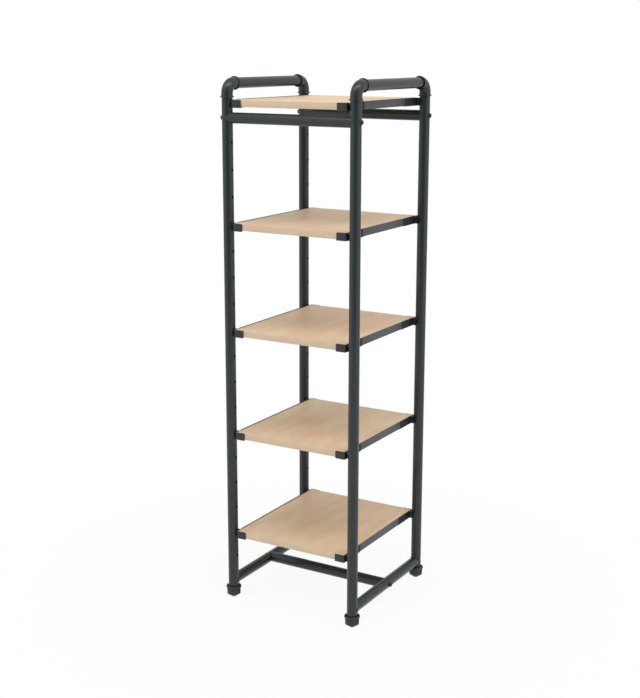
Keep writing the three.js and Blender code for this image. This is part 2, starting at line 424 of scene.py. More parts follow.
def soften(piece: Object, width: float, steps: int = 3) -> None:
    """Rounds the sharp edges of a piece.

    Args:
        piece: The piece to round.
        width: How far the rounding reaches from each edge.
        steps: How many facets it has.
    """
    apply_modifier(
        piece,
        "BEVEL",
        width=width,
        segments=steps,
        limit_method="ANGLE",
        angle_limit=ROUNDED_FROM,
        use_clamp_overlap=True,
    )


def copy_to(
    piece: Object,
    name: str,
    side: Side = Side.RIGHT,
    end: End = End.FRONT,
    move: Vector | None = None,
) -> Object:
    """Copies a piece from the front right to another corner, with a mesh of its own.

    Args:
        piece: The piece at the front right.
        name: The copy's name.
        side: The side that the copy goes to.
        end: The end that the copy goes to.
        move: How far it then moves.

    Returns:
        The copy.
    """
    take(piece)
    bpy.ops.object.duplicate(linked=False)
    twin = bpy.context.active_object
    twin.scale = (side.value, -end.value, 1)
    twin.location = move or Vector((0, 0, 0))
    settle(twin, name)
    if side.value * -end.value < 0:
        face_outwards(twin)
    return twin


# Materials


def linear(colour: str) -> tuple[float, float, float, float]:
    """Turns an sRGB hex colour into the linear colour that shaders take.

    Args:
        colour: Six hex digits after a hash sign.

    Returns:
        Red, green, blue and alpha.
    """
    parts = [int(colour[i : i + 2], 16) / 255 for i in (1, 3, 5)]
    red, green, blue = (p / 12.92 if p <= 0.04045 else ((p + 0.055) / 1.055) ** 2.4 for p in parts)
    return (red, green, blue, 1.0)


def add_node(
    tree: NodeTree,
    kind: str,
    sockets: dict | None = None,
    **settings: object,
) -> Node:
    """Adds a node with its settings, its values and its links.

    Args:
        tree: The node tree that it goes into.
        kind: Blender's name for the kind of node.
        sockets: For each input a value, or the output or the node that feeds it. A node feeds
            it from the first output that it has in use.
        settings: The node's own settings.

    Returns:
        The node.
    """
    node = tree.nodes.new(kind)
    for key, value in settings.items():
        setattr(node, key, value)
    for key, value in (sockets or {}).items():
        if isinstance(value, Node):
            value = next(output for output in value.outputs if output.enabled)
        if isinstance(value, NodeSocket):
            tree.links.new(value, node.inputs[key])
        else:
            node.inputs[key].default_value = value
    return node


def empty_tree(owner: ID) -> NodeTree:
    """Gives a material or a world a node tree of its own, with nothing in it yet.

    Args:
        owner: The material or world.

    Returns:
        The tree.
    """
    owner.use_nodes = True
    owner.node_tree.nodes.clear()
    return owner.node_tree


def stretch(value: Node | NodeSocket, taken: Pair, given: Pair) -> dict:
    """Lists the inputs with which one span of a value becomes another.

    Args:
        value: What gives the value.
        taken: The span that it has.
        given: The span that it gets.

    Returns:
        The inputs by name.
    """
    return {
        "Value": value,
        "From Min": taken[0],
        "From Max": taken[1],
        "To Min": given[0],
        "To Max": given[1],
    }


@dataclass(frozen=True)
class Finish:
    """What every finish has: its real surface's name, its slot, and its sheen."""

    name: str
    slot: str
    roughness: float
    roughness_spread: float
    gloss_level: float
    metal: float
    bump_strength: float

    @property
    def rough_span(self) -> Pair:
        """The lowest and highest roughness that the surface drifts between."""
        return (self.roughness - self.roughness_spread, self.roughness + self.roughness_spread)

    def drawn_noise(
        self,
        tree: NodeTree,
        place: NodeSocket,
        size: Pair,
        **levels: float,
    ) -> Node:
        """Adds noise that is drawn out from front to rear.

        Args:
            tree: The material's node tree.
            place: The coordinates that it follows.
            size: Its size from side to side, and its size from front to rear.
            levels: The noise's other inputs.

        Returns:
            The noise.
        """
        across, along = 1 / size[0], 1 / size[1]
        drawn = add_node(
            tree,
            "ShaderNodeMapping",
            {"Vector": place, "Scale": (across, along, across)},
        )
        return add_node(tree, "ShaderNodeTexNoise", {"Vector": drawn, "Scale": 1.0, **levels})

    def surface(
        self,
        tree: NodeTree,
        tone: Node,
        gloss: Node,
        reliefs: Sequence[tuple[Node, float]],
    ) -> Node:
        """Adds the surface itself, each of its reliefs on top of the one before.

        Args:
            tree: The material's node tree.
            tone: What gives its colour.
            gloss: What gives its roughness.
            reliefs: For each relief, what gives its height, and how deep it is.

        Returns:
            The shader node.
        """
        normal = {}
        for height, depth in reliefs:
            bump = add_node(
                tree,
                "ShaderNodeBump",
                {"Height": height, "Strength": self.bump_strength, "Distance": depth, **normal},
            )
            normal = {"Normal": bump}
        return add_node(
            tree,
            "ShaderNodeBsdfPrincipled",
            {
                "Base Color": tone,
                "Metallic": self.metal,
                "Roughness": gloss,
                "Specular IOR Level": self.gloss_level,
                **normal,
            },
        )

    def paint(self, tree: NodeTree, place: NodeSocket) -> Node:
        """Adds the finish's nodes.

        Args:
            tree: The material's node tree.
            place: The object coordinates, in metres.

        Returns:
            The shader node.
        """
        raise NotImplementedError

    @cached_property
    def material(self) -> Material:
        """The material, made on first use.

        Returns:
            The material.
        """
        made = bpy.data.materials.new(self.name)
        tree = empty_tree(made)
        place = add_node(tree, "ShaderNodeTexCoord").outputs["Object"]
        add_node(tree, "ShaderNodeOutputMaterial", {"Surface": self.paint(tree, place)})
        return made


@dataclass(frozen=True)
class PowderCoat(Finish):
    """Polyester powder coat, baked on steel tube: dark grey, satin, with a faint orange peel."""

    name: str = "satin_polyester_powder_coat"
    slot: str = "frame_powder_coat"
    roughness: float = 0.25
    roughness_spread: float = 0.03
    gloss_level: float = 0.41
    metal: float = 0.0
    bump_strength: float = 0.6
    colour: str = "#262c2e"
    paler: str = "#2e3436"
    cloud_size: float = 90 * MM
    peel_size: float = 4 * MM
    peel_depth: float = 0.01 * MM
    grit_size: float = 0.5 * MM
    grit_depth: float = 0.003 * MM

    def paint(self, tree: NodeTree, place: NodeSocket) -> Node:
        """Adds the finish's nodes.

        Args:
            tree: The material's node tree.
            place: The object coordinates, in metres.

        Returns:
            The shader node.
        """
        # The coat is laid on by hand, so its thickness and tone drift a little along a tube
        cloud = add_node(
            tree,
            "ShaderNodeTexNoise",
            {"Vector": place, "Scale": 1 / self.cloud_size, "Detail": 4.0, "Roughness": 0.6},
        )
        tone = add_node(
            tree,
            "ShaderNodeMix",
            {"Factor": cloud, "A": linear(self.colour), "B": linear(self.paler)},
            data_type="RGBA",
        )
        gloss = add_node(tree, "ShaderNodeMapRange", stretch(cloud, NOISE_SPAN, self.rough_span))
        # Baked powder flows into low waves, the orange peel that breaks up a highlight's edge,
        # and the grains of the powder still show in them as a fine grit
        peel, grit = (
            add_node(
                tree,
                "ShaderNodeTexNoise",
                {"Vector": place, "Scale": 1 / size, "Detail": 1.0},
            )
            for size in (self.peel_size, self.grit_size)
        )
        reliefs = [(peel, self.peel_depth), (grit, self.grit_depth)]
        return self.surface(tree, tone, gloss, reliefs)


@dataclass(frozen=True)
class BarSteel(Finish):
    """Rolled steel strip, bent to an angle and coated mid grey: rolling lines run along it."""

    name: str = "coated_rolled_steel_strip"
    slot: str = "side_bar_steel"
    roughness: float = 0.42
    roughness_spread: float = 0.06
    gloss_level: float = 0.5
    metal: float = 0.0
    bump_strength: float = 0.5
    colour: str = "#424449"
    paler: str = "#4b4d52"
    line_size: Pair = (0.8 * MM, 60 * MM)
    line_depth: float = 0.01 * MM

    def paint(self, tree: NodeTree, place: NodeSocket) -> Node:
        """Adds the finish's nodes.

        Args:
            tree: The material's node tree.
            place: The object coordinates, in metres.

        Returns:
            The shader node.
        """
        # Rolling leaves long faint lines, which show as streaks of a slightly different gloss
        lines = self.drawn_noise(tree, place, self.line_size, Detail=3.0)
        tone = add_node(
            tree,
            "ShaderNodeMix",
            {"Factor": lines, "A": linear(self.colour), "B": linear(self.paler)},
            data_type="RGBA",
        )
        gloss = add_node(tree, "ShaderNodeMapRange", stretch(lines, NOISE_SPAN, self.rough_span))
        return self.surface(tree, tone, gloss, [(lines, self.line_depth)])


@dataclass(frozen=True)
class MouldedNylon(Finish):
    """Black glass-filled nylon, moulded in a spark-eroded tool: matt, with a fine even grain."""

    name: str = "moulded_black_nylon"
    slot: str = "black_nylon"
    roughness: float = 0.48
    roughness_spread: float = 0.08
    gloss_level: float = 0.45
    metal: float = 0.0
    bump_strength: float = 0.5
    colour: str = "#252829"
    paler: str = "#303335"
    # Painted shade: the walls that face left and right take this blacker tone
    side_tone: str = "#0c0e0f"
    side_span: Pair = (0.92, 1.0)
    side_share: float = 0.95
    side_dulling: float = 0.28
    flow_size: float = 22 * MM
    grain_size: float = 0.6 * MM
    grain_depth: float = 0.03 * MM

    def paint(self, tree: NodeTree, place: NodeSocket) -> Node:
        """Adds the finish's nodes.

        Args:
            tree: The material's node tree.
            place: The object coordinates, in metres.

        Returns:
            The shader node.
        """
        # Molten nylon cools unevenly, which leaves cloudy patches of a paler, duller black
        flow = add_node(
            tree,
            "ShaderNodeTexNoise",
            {"Vector": place, "Scale": 1 / self.flow_size, "Detail": 3.0, "Distortion": 0.8},
        )
        tone = add_node(
            tree,
            "ShaderNodeMix",
            {"Factor": flow, "A": linear(self.colour), "B": linear(self.paler)},
            data_type="RGBA",
        )
        gloss = add_node(tree, "ShaderNodeMapRange", stretch(flow, NOISE_SPAN, self.rough_span))
        # The walls that face left and right are painted a blacker tone, as painted shade from the
        # posts beside them, and their roughness rises, so the sheen stays on the front and rear
        # walls
        normal = add_node(tree, "ShaderNodeTexCoord").outputs["Normal"]
        parts = add_node(tree, "ShaderNodeSeparateXYZ", {"Vector": normal})
        sideways = add_node(tree, "ShaderNodeMath", {0: parts.outputs["X"]}, operation="ABSOLUTE")
        side_shade_factor = add_node(
            tree,
            "ShaderNodeMapRange",
            stretch(sideways, self.side_span, (0.0, self.side_share)),
        )
        shade_painted_tone = add_node(
            tree,
            "ShaderNodeMix",
            {"Factor": side_shade_factor, "A": tone, "B": linear(self.side_tone)},
            data_type="RGBA",
        )
        duller = add_node(
            tree,
            "ShaderNodeMath",
            {0: side_shade_factor, 1: self.side_dulling, 2: gloss},
            operation="MULTIPLY_ADD",
        )
        # The real grain is about a tenth of a millimetre, too fine to show, so it is drawn coarser
        grain = add_node(
            tree,
            "ShaderNodeTexVoronoi",
            {"Vector": place, "Scale": 1 / self.grain_size},
            feature="SMOOTH_F1",
        )
        return self.surface(tree, shade_painted_tone, duller, [(grain, self.grain_depth)])


@dataclass(frozen=True)
class LacqueredBeech(Finish):
    """Pale beech under a matt lacquer: soft bands and fine flecks that run from front to rear.

    Each size is a width across the grain and a length along it.
    """

    name: str = "lacquered_beech"
    slot: str = "pale_wood"
    roughness: float = 0.5
    roughness_spread: float = 0.07
    gloss_level: float = 0.3
    metal: float = 0.0
    bump_strength: float = 0.4
    pale: str = "#e5cfb1"
    warm: str = "#d1ae8c"
    fleck: str = "#b0906d"
    rosy: str = "#ddb597"
    straw: str = "#d2c6a1"
    # Painted light: the front and rear faces are painted paler with this colour
    end_grain: str = "#e4cfb5"
    end_share: float = 0.55
    hue_share: float = 0.35
    band_size: Pair = (36 * MM, 190 * MM)
    cloud_size: Pair = (60 * MM, 170 * MM)
    fibre_size: Pair = (1.1 * MM, 60 * MM)
    fleck_size: Pair = (0.45 * MM, 5 * MM)
    distortion: float = 0.25
    fibre_depth: float = 0.03 * MM

    def tint(
        self,
        tree: NodeTree,
        ground: Node | tuple,
        colour: str,
        pattern: Node,
        taken: Pair,
        given: Pair,
    ) -> Node:
        """Lays a second colour over a ground where a pattern is strong.

        Args:
            tree: The material's node tree.
            ground: The colour underneath, or the node that gives it.
            colour: The second colour.
            pattern: The noise that decides where it lies.
            taken: The span of the noise over which it comes in.
            given: How much there is of it at either end of that span.

        Returns:
            The node that gives the mixed colour.
        """
        share = add_node(tree, "ShaderNodeMapRange", stretch(pattern, taken, given))
        return add_node(
            tree,
            "ShaderNodeMix",
            {"Factor": share, "A": ground, "B": linear(colour)},
            data_type="RGBA",
        )

    def paint(self, tree: NodeTree, place: NodeSocket) -> Node:
        """Adds the finish's nodes.

        Args:
            tree: The material's node tree.
            place: The object coordinates, in metres.

        Returns:
            The shader node.
        """
        bands, fibres, flecks, clouds = (
            self.drawn_noise(tree, place, size, Detail=detail, Distortion=self.distortion)
            for size, detail in (
                (self.band_size, 3.0),
                (self.fibre_size, 3.0),
                (self.fleck_size, 1.0),
                (self.cloud_size, 2.0),
            )
        )
        # Growth rings cut along the trunk: broad, soft, warmer and paler bands
        pale, rosy = linear(self.pale), linear(self.rosy)
        banded = self.tint(tree, pale, self.warm, bands, (0.32, 0.68), (0.12, 0.88))
        # The glued staves differ a little in hue, some rosy and some the yellow of straw
        hue = self.tint(tree, rosy, self.straw, clouds, (0.38, 0.62), (0.0, 1.0))
        ground = add_node(
            tree,
            "ShaderNodeMix",
            {"Factor": self.hue_share, "A": banded, "B": hue},
            data_type="RGBA",
        )
        fibred = self.tint(tree, ground, self.warm, fibres, (0.35, 0.75), (0.0, 0.28))
        # Beech has short dark rays, which show as flecks no longer than a grain of rice
        flecked = self.tint(tree, fibred, self.fleck, flecks, (0.66, 0.78), (0.0, 0.45))
        # The front and rear faces cut across the fibres, and they are painted paler: painted light
        # that lifts these upright faces towards the brightness of the top
        normal = add_node(tree, "ShaderNodeTexCoord").outputs["Normal"]
        parts = add_node(tree, "ShaderNodeSeparateXYZ", {"Vector": normal})
        facing = add_node(tree, "ShaderNodeMath", {0: parts.outputs["Y"]}, operation="ABSOLUTE")
        end_light_factor = add_node(
            tree,
            "ShaderNodeMath",
            {0: facing, 1: self.end_share},
            operation="MULTIPLY",
        )
        end_lit_tone = add_node(
            tree,
            "ShaderNodeMix",
            {"Factor": end_light_factor, "A": flecked, "B": linear(self.end_grain)},
            data_type="RGBA",
        )
        gloss = add_node(tree, "ShaderNodeMapRange", stretch(fibres, NOISE_SPAN, self.rough_span))
        return self.surface(tree, end_lit_tone, gloss, [(fibres, self.fibre_depth)])


@dataclass(frozen=True)
class BlackOxide(Finish):
    """Black oxide on turned steel bolts: nearly black, with a dull metal shine."""

    name: str = "black_oxide_steel"
    slot: str = "black_bolt_steel"
    roughness: float = 0.38
    roughness_spread: float = 0.08
    gloss_level: float = 0.5
    metal: float = 0.6
    bump_strength: float = 0.4
    colour: str = "#2b2e30"
    paler: str = "#3a3e40"
    patch_size: float = 3 * MM
    scale_size: float = 0.35 * MM
    scale_depth: float = 0.01 * MM

    def paint(self, tree: NodeTree, place: NodeSocket) -> Node:
        """Adds the finish's nodes.

        Args:
            tree: The material's node tree.
            place: The object coordinates, in metres.

        Returns:
            The shader node.
        """
        # The oxide bath colours steel in patches, so the bare metal glints through in places
        patches, scale = (
            add_node(
                tree,
                "ShaderNodeTexNoise",
                {"Vector": place, "Scale": 1 / size, "Detail": detail},
            )
            for size, detail in ((self.patch_size, 4.0), (self.scale_size, 1.0))
        )
        tone = add_node(
            tree,
            "ShaderNodeMix",
            {"Factor": patches, "A": linear(self.colour), "B": linear(self.paler)},
            data_type="RGBA",
        )
        gloss = add_node(tree, "ShaderNodeMapRange", stretch(patches, NOISE_SPAN, self.rough_span))
        return self.surface(tree, tone, gloss, [(scale, self.scale_depth)])


def hand_over(piece: Object, finish: Finish, body: str, *nodes: str) -> None:
    """Smooths and dresses a piece, ties it to its body, and hides the frame nodes that it stands
    for.

    Args:
        piece: The finished piece.
        finish: What its surface is.
        body: The body that it moves with.
        nodes: The frame nodes that it replaces.
    """
    take(piece)
    bpy.ops.object.shade_smooth_by_angle(angle=SHADED_BELOW)
    piece.data.materials.clear()
    piece.data.materials.append(finish.material)
    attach(piece, body)
    if nodes:
        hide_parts(*nodes)
    LOG.info("%s rides on %s, %d faces", piece.name, body, len(piece.data.polygons))


def hand_over_each(
    piece: Object,
    finish: Finish,
    body: str,
    places: Places,
    *names: str,
    move: Vector | None = None,
) -> None:
    """Copies a piece that was modelled at the front right to all its places, and hands all over.

    Args:
        piece: The piece at the front right.
        finish: What the surface is.
        body: The body that the pieces move with.
        places: The side and end of each place, by the word for it in a name.
        names: The pieces' name, and that of the frame nodes that they replace if there are any,
            with a star where the place's word goes.
        move: How far the copies are moved.
    """
    for word, (side, end) in places.items():
        name, *nodes = (pattern.replace("*", word) for pattern in names)
        made = piece if name == piece.name else copy_to(piece, name, side, end, move)
        hand_over(made, finish, body, *nodes)


# Sub-assemblies


@dataclass(frozen=True)
class TubeStock:
    """The round steel tube that the whole frame is cut from, and where its posts stand."""

    radius: float = 15 * MM
    wall: float = 1.5 * MM
    sides: int = 64
    slip_gap: float = 0.3 * MM
    post_x: float = 200 * MM
    post_y: float = 200 * MM
    cutter_reach: float = 45 * MM

    @property
    def front_right(self) -> Vector:
        """The foot of the front right post's axis."""
        return Vector((self.post_x, -self.post_y, 0))

    def cut(self, name: str, start: Vector, end: Vector) -> Object:
        """Cuts a length of hollow tube.

        Args:
            name: The piece's name.
            start: The middle of one end.
            end: The middle of the other end.

        Returns:
            The tube.
        """
        tube = rod(name, start, end, self.radius, self.sides, capped=False)
        apply_modifier(tube, "SOLIDIFY", thickness=self.wall, offset=-1)
        return tube

    def cope_cutter(self, name: str, middle: Vector, along: Vector) -> Object:
        """Makes the cutter that shapes a tube's end to sit round another tube.

        Args:
            name: The cutter's name.
            middle: A point on the other tube's axis.
            along: The way that the other tube runs.

        Returns:
            The cutter.
        """
        reach = along * self.cutter_reach
        return rod(name, middle - reach, middle + reach, self.radius + self.slip_gap, self.sides)


@dataclass
class Posts:
    """Four upright tubes, each with a row of peg holes that faces the other side."""

    coat: Finish
    stock: TubeStock
    hole_radius: float = 4.3 * MM
    hole_sides: int = 24
    first_hole: float = 131 * MM
    hole_pitch: float = 75 * MM
    hole_count: int = 17
    top_shelf_hole: float = 1441.5 * MM
    bolt_height: float = 1397 * MM

    def build(self) -> None:
        """Models the front right post and copies it to the other corners."""
        low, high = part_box("post_front_right")
        foot = self.stock.front_right
        post = self.stock.cut(
            "post_tube_front_right",
            foot + Z_AXIS * low.z,
            foot + Z_AXIS * high.z,
        )
        heights = [self.first_hole + self.hole_pitch * i for i in range(self.hole_count)]
        holes = [foot + Z_AXIS * height for height in [*heights, self.top_shelf_hole]]
        inwards = -X_AXIS * self.stock.radius * 2
        bolt = foot + Z_AXIS * self.bolt_height
        cuts = [*((hole, hole + inwards) for hole in holes), (bolt - inwards, bolt + inwards)]
        drills = [
            rod(f"drill_{i}", start, end, self.hole_radius, self.hole_sides)
            for i, (start, end) in enumerate(cuts)
        ]
        carve(post, drills)
        hand_over_each(post, self.coat, ROOT_BODY, CORNERS, "post_tube_*", "post_*")


@dataclass
class Elbows:
    """Four cast elbows, each end with a raised band round the mouth that a tube stands in."""

    coat: Finish
    stock: TubeStock
    radius: float = 16 * MM
    bend_radius: float = 28 * MM
    reach: float = 37.6 * MM
    band_radius: float = 18.79 * MM
    band_width: float = 3.4 * MM
    neck_radius: float = 16.7 * MM
    neck_steps: int = 4
    swell_start: float = 29 * MM
    swell_power: float = 1.6
    edge: float = 0.45 * MM
    mouth_radius: float = 17.7 * MM
    mouth_floor: float = 34.2 * MM
    crossing_height: float = 1489 * MM
    bend_steps: int = 20
    sides: int = 64

    def end_rings(self) -> list[Ring]:
        """Lists the rings of one end, from its mouth's floor out over the lip to the neck.

        Returns:
            A radius and a distance from the crossing for each.
        """
        socket = self.stock.radius + self.stock.slip_gap
        band_start = self.reach - self.band_width
        swell = band_start - self.swell_start
        rise = self.neck_radius - self.radius
        # The casting swells a little towards its band, along a smooth hollow curve
        shares = [i / self.neck_steps for i in range(self.neck_steps, -1, -1)]
        neck = [
            (self.radius + rise * share**self.swell_power, self.swell_start + swell * share)
            for share in shares
        ]
        # The multiples of the edge set the points of each small rounding, flatter on the lip
        edge, knee = self.edge, self.edge * KNEE
        return [
            (socket, self.mouth_floor),
            (self.mouth_radius - edge * 0.2, self.reach - edge),
            (self.mouth_radius, self.reach - knee),
            (self.mouth_radius + edge * 0.6, self.reach),
            (self.band_radius - edge, self.reach),
            (self.band_radius - knee, self.reach - knee),
            (self.band_radius, self.reach - edge),
            (self.band_radius, band_start + edge),
            (self.band_radius - knee, band_start + knee),
            (self.band_radius - edge, band_start),
            *neck,
        ]

    def build(self) -> None:
        """Models the front right elbow and copies it to the other corners."""
        crossing = self.stock.front_right + Z_AXIS * self.crossing_height
        rings = self.end_rings()
        radius, place = rings[0]
        mouth = crossing - Z_AXIS * place
        elbow = disc("elbow_fitting_front_right", mouth, Z_AXIS, radius, self.sides)
        with editing(elbow):
            bpy.ops.mesh.select_all(action="SELECT")
            grow(crossing, -Z_AXIS, [*rings, (self.radius, self.bend_radius)])
            bpy.ops.mesh.spin(
                steps=self.bend_steps,
                angle=math.pi / 2,
                center=crossing + Vector((0, self.bend_radius, -self.bend_radius)),
                axis=X_AXIS,
            )
            grow(crossing, Y_AXIS, [(self.radius, self.bend_radius), *reversed(rings)])
        face_outwards(elbow)
        hand_over_each(elbow, self.coat, ROOT_BODY, CORNERS, "elbow_fitting_*", "elbow_*")


@dataclass
class HandleTubes:
    """The level tube between the two elbows of each side."""

    coat: Finish
    stock: TubeStock

    def build(self) -> None:
        """Models the right tube and copies it to the left."""
        low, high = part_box("handle_tube_right")
        middle = (low + high) / 2
        start = Vector((middle.x, low.y, middle.z))
        end = Vector((middle.x, high.y, middle.z))
        tube = self.stock.cut("handle_grip_right", start, end)
        hand_over_each(tube, self.coat, ROOT_BODY, SIDES, "handle_grip_*", "handle_tube_*")


@dataclass
class FootCaps:
    """Four moulded cups under the posts, each with a rolled rim and a small round pad."""

    nylon: Finish
    stock: TubeStock
    body_radius: float = 20 * MM
    rim_radius: float = 22.4 * MM
    rim_length: float = 8 * MM
    rim_sweep: Pair = (-70.0, 90.0)
    rim_steps: int = 12
    height: float = 34.5 * MM
    pad_radius: float = 7.5 * MM
    pad_height: float = 2 * MM
    chamfer_height: float = 9.5 * MM
    mouth_radius: float = 17.6 * MM
    mouth_depth: float = 9 * MM
    floor: float = 12 * MM
    edge: float = 0.7 * MM
    sides: int = 64

    def rings(self) -> list[Ring]:
        """Lists the rings of the cup from under its pad, up the outside and down into its socket.

        Returns:
            A radius and a height for each.
        """
        rise = self.rim_length / 2
        start, end = self.rim_sweep
        angles = [start + (end - start) * i / self.rim_steps for i in range(self.rim_steps + 1)]
        rim = rounding((self.rim_radius - rise, self.height - rise), (rise, rise), angles)
        socket = self.stock.radius + self.stock.slip_gap
        # The multiples of the edge set the points of each small rounding between slanted faces
        edge, knee = self.edge, self.edge * KNEE
        return [
            (self.pad_radius - edge * 2, 0.0),
            (self.pad_radius - edge, knee),
            (self.pad_radius, edge),
            (self.pad_radius, self.pad_height - knee),
            (self.pad_radius + edge, self.pad_height),
            (self.body_radius - edge * 1.6, self.chamfer_height - edge * 0.9),
            (self.body_radius - edge * 0.6, self.chamfer_height),
            (self.body_radius - knee, self.chamfer_height + edge),
            (self.body_radius, self.height - self.rim_length - edge),
            *[ring for ring in rim if ring[0] > self.mouth_radius],
            (self.mouth_radius, self.height - knee),
            (self.mouth_radius - edge * 0.4, self.height - edge),
            (socket, self.height - self.mouth_depth),
            (socket, self.floor),
        ]

    def build(self) -> None:
        """Models the front right cup and copies it to the other corners."""
        foot = self.stock.front_right
        cup = turned("foot_cup_front_right", foot, Z_AXIS, self.rings(), self.sides)
        hand_over_each(cup, self.nylon, ROOT_BODY, CORNERS, "foot_cup_*", "foot_cap_*")


@dataclass
class BaseRails:
    """The low tube between the two posts of each side, welded in, with a bead round each end."""

    coat: Finish
    stock: TubeStock
    bolt_hole_radius: float = 4.3 * MM
    bolt_hole_sides: int = 24
    bead_radius: float = 1.7 * MM
    bead_share_outside: float = 0.25
    bead_sides: int = 10
    bead_points: int = 72
    ripple_share: float = 0.12

    def bead_path(self, post: Vector, inwards: float) -> list[Vector]:
        """Follows the line where the rail meets a post of the same size.

        Args:
            post: The point where the two axes cross.
            inwards: The sign of Y along which the rail leaves the post.

        Returns:
            The points of the closed line.
        """
        radius = self.stock.radius + self.bead_radius * self.bead_share_outside
        points = []
        for i in range(self.bead_points):
            angle = 2 * math.pi * i / self.bead_points
            across, up = radius * math.sin(angle), radius * math.cos(angle)
            # The line has a sharp turn at each side, which the welder rounds off
            out = math.hypot(up, self.bead_radius)
            points.append(post + Vector((across, inwards * out, up)))
        return points

    def weld(self, name: str, post: Vector, inwards: float) -> Object:
        """Lays a weld bead round one end of the rail.

        Args:
            name: The bead's name.
            post: The point where the two axes cross.
            inwards: The sign of Y along which the rail leaves the post.

        Returns:
            The bead.
        """
        deselect_all()
        curve = bpy.data.curves.new(name, "CURVE")
        curve.dimensions = "3D"
        curve.bevel_depth = self.bead_radius
        curve.bevel_resolution = self.bead_sides // 2 - 1
        path = self.bead_path(post, inwards)
        line = curve.splines.new("POLY")
        line.points.add(len(path) - 1)
        line.use_cyclic_u = True
        for i, (point, spot) in enumerate(zip(line.points, path)):
            point.co = (*spot, 1)
            # Each pool of metal froze a little proud of the next, like a row of coins
            point.radius = 1 + self.ripple_share * (1 if i % 2 else -1)
        bead = bpy.data.objects.new(name, curve)
        bpy.context.scene.collection.objects.link(bead)
        take(bead)
        bpy.ops.object.convert(target="MESH")
        return settle(bpy.context.active_object, name)

    def build(self) -> None:
        """Models the right rail with its two welds, and copies them to the left."""
        low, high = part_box("base_rail_right")
        middle = (low + high) / 2
        start = Vector((middle.x, -self.stock.post_y, middle.z))
        end = Vector((middle.x, self.stock.post_y, middle.z))
        rail = self.stock.cut("base_tube_right", start, end)
        across = X_AXIS * self.stock.radius * 2
        drill = rod(
            "bolt_drill",
            middle - across,
            middle + across,
            self.bolt_hole_radius,
            self.bolt_hole_sides,
        )
        copes = [
            self.stock.cope_cutter("front_cope", start, Z_AXIS),
            self.stock.cope_cutter("rear_cope", end, Z_AXIS),
        ]
        carve(rail, [*copes, drill])
        welds = {
            "front": self.weld("base_weld_front_right", start, 1),
            "rear": self.weld("base_weld_rear_right", end, -1),
        }
        for word, weld in welds.items():
            hand_over_each(weld, self.coat, ROOT_BODY, SIDES, f"base_weld_{word}_*")
        hand_over_each(rail, self.coat, ROOT_BODY, SIDES, "base_tube_*", "base_rail_*")


@dataclass
class CrossTubes:
    """The tubes between the two sides: front and rear at the top, and one at the base."""

    coat: Finish
    stock: TubeStock

    def across(self, name: str, node: str, neighbour: Vector) -> None:
        """Makes one tube from side to side, its ends shaped to sit round its neighbours.

        Args:
            name: The tube's name.
            node: The frame node that it stands for.
            neighbour: The way that the tubes at its ends run.
        """
        low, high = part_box(node)
        middle = (low + high) / 2
        right = Vector((self.stock.post_x, middle.y, middle.z))
        left = Vector((-self.stock.post_x, middle.y, middle.z))
        tube = self.stock.cut(name, left, right)
        copes = [
            self.stock.cope_cutter("left_cope", left, neighbour),
            self.stock.cope_cutter("right_cope", right, neighbour),
        ]
        carve(tube, copes)
        hand_over(tube, self.coat, ROOT_BODY, node)

    def build(self) -> None:
        """Makes the two top tubes and the base tube."""
        for end in End:
            self.across(f"top_tube_{end.word}", f"top_cross_tube_{end.word}", Z_AXIS)
        self.across("base_cross_tube", "base_cross_rail", Y_AXIS)


@dataclass
class Bolts:
    """Domed socket bolts through the posts and base rails into the cross tubes."""

    oxide: Finish
    stock: TubeStock
    head_radius: float = 7 * MM
    head_height: float = 6 * MM
    dome_height: float = 4.5 * MM
    dome_steps: int = 8
    tip_share: float = 0.08
    shank_radius: float = 4 * MM
    shank_sides: int = 24
    key_radius: float = 2.9 * MM
    key_depth: float = 3 * MM
    key_sides: int = 6
    sides: int = 40

    def bolt(self, name: str, node: str, neighbour: Vector) -> Object:
        """Models one bolt on the right side, its head hugging the round tube.

        Args:
            name: The bolt's name.
            node: The frame node that gives its place.
            neighbour: The way that the tube under its head runs.

        Returns:
            The bolt.
        """
        low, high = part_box(node)
        middle = (low + high) / 2
        axis = Vector((self.stock.post_x, middle.y, middle.z))
        top = self.stock.radius + self.head_height
        base = top - self.dome_height
        angles = [90 * i / self.dome_steps for i in range(self.dome_steps)]
        rings = [
            (self.head_radius, 0.0),
            *rounding((0.0, base), (self.head_radius, self.dome_height), angles),
            (self.head_radius * self.tip_share, top),
        ]
        head = turned(name, axis, X_AXIS, rings, self.sides)
        carve(head, [self.stock.cope_cutter("saddle", axis, neighbour)])
        key_start = axis + X_AXIS * (top - self.key_depth)
        key_end = axis + X_AXIS * (top + self.key_depth)
        carve(head, [rod("key", key_start, key_end, self.key_radius, self.key_sides)])
        shank_start = Vector((low.x, middle.y, middle.z))
        shank_end = axis + X_AXIS * base
        return join(
            head,
            [rod("shank", shank_start, shank_end, self.shank_radius, self.shank_sides)],
        )

    def build(self) -> None:
        """Makes the bolts of the top cross tubes and of the base cross tube."""
        upright = self.bolt("top_socket_bolt_front_right", "top_bolt_front_right", Z_AXIS)
        hand_over_each(upright, self.oxide, ROOT_BODY, CORNERS, "top_socket_bolt_*", "top_bolt_*")
        level = self.bolt("base_socket_bolt_right", "base_bolt_right", Y_AXIS)
        hand_over_each(level, self.oxide, ROOT_BODY, SIDES, "base_socket_bolt_*", "base_bolt_*")


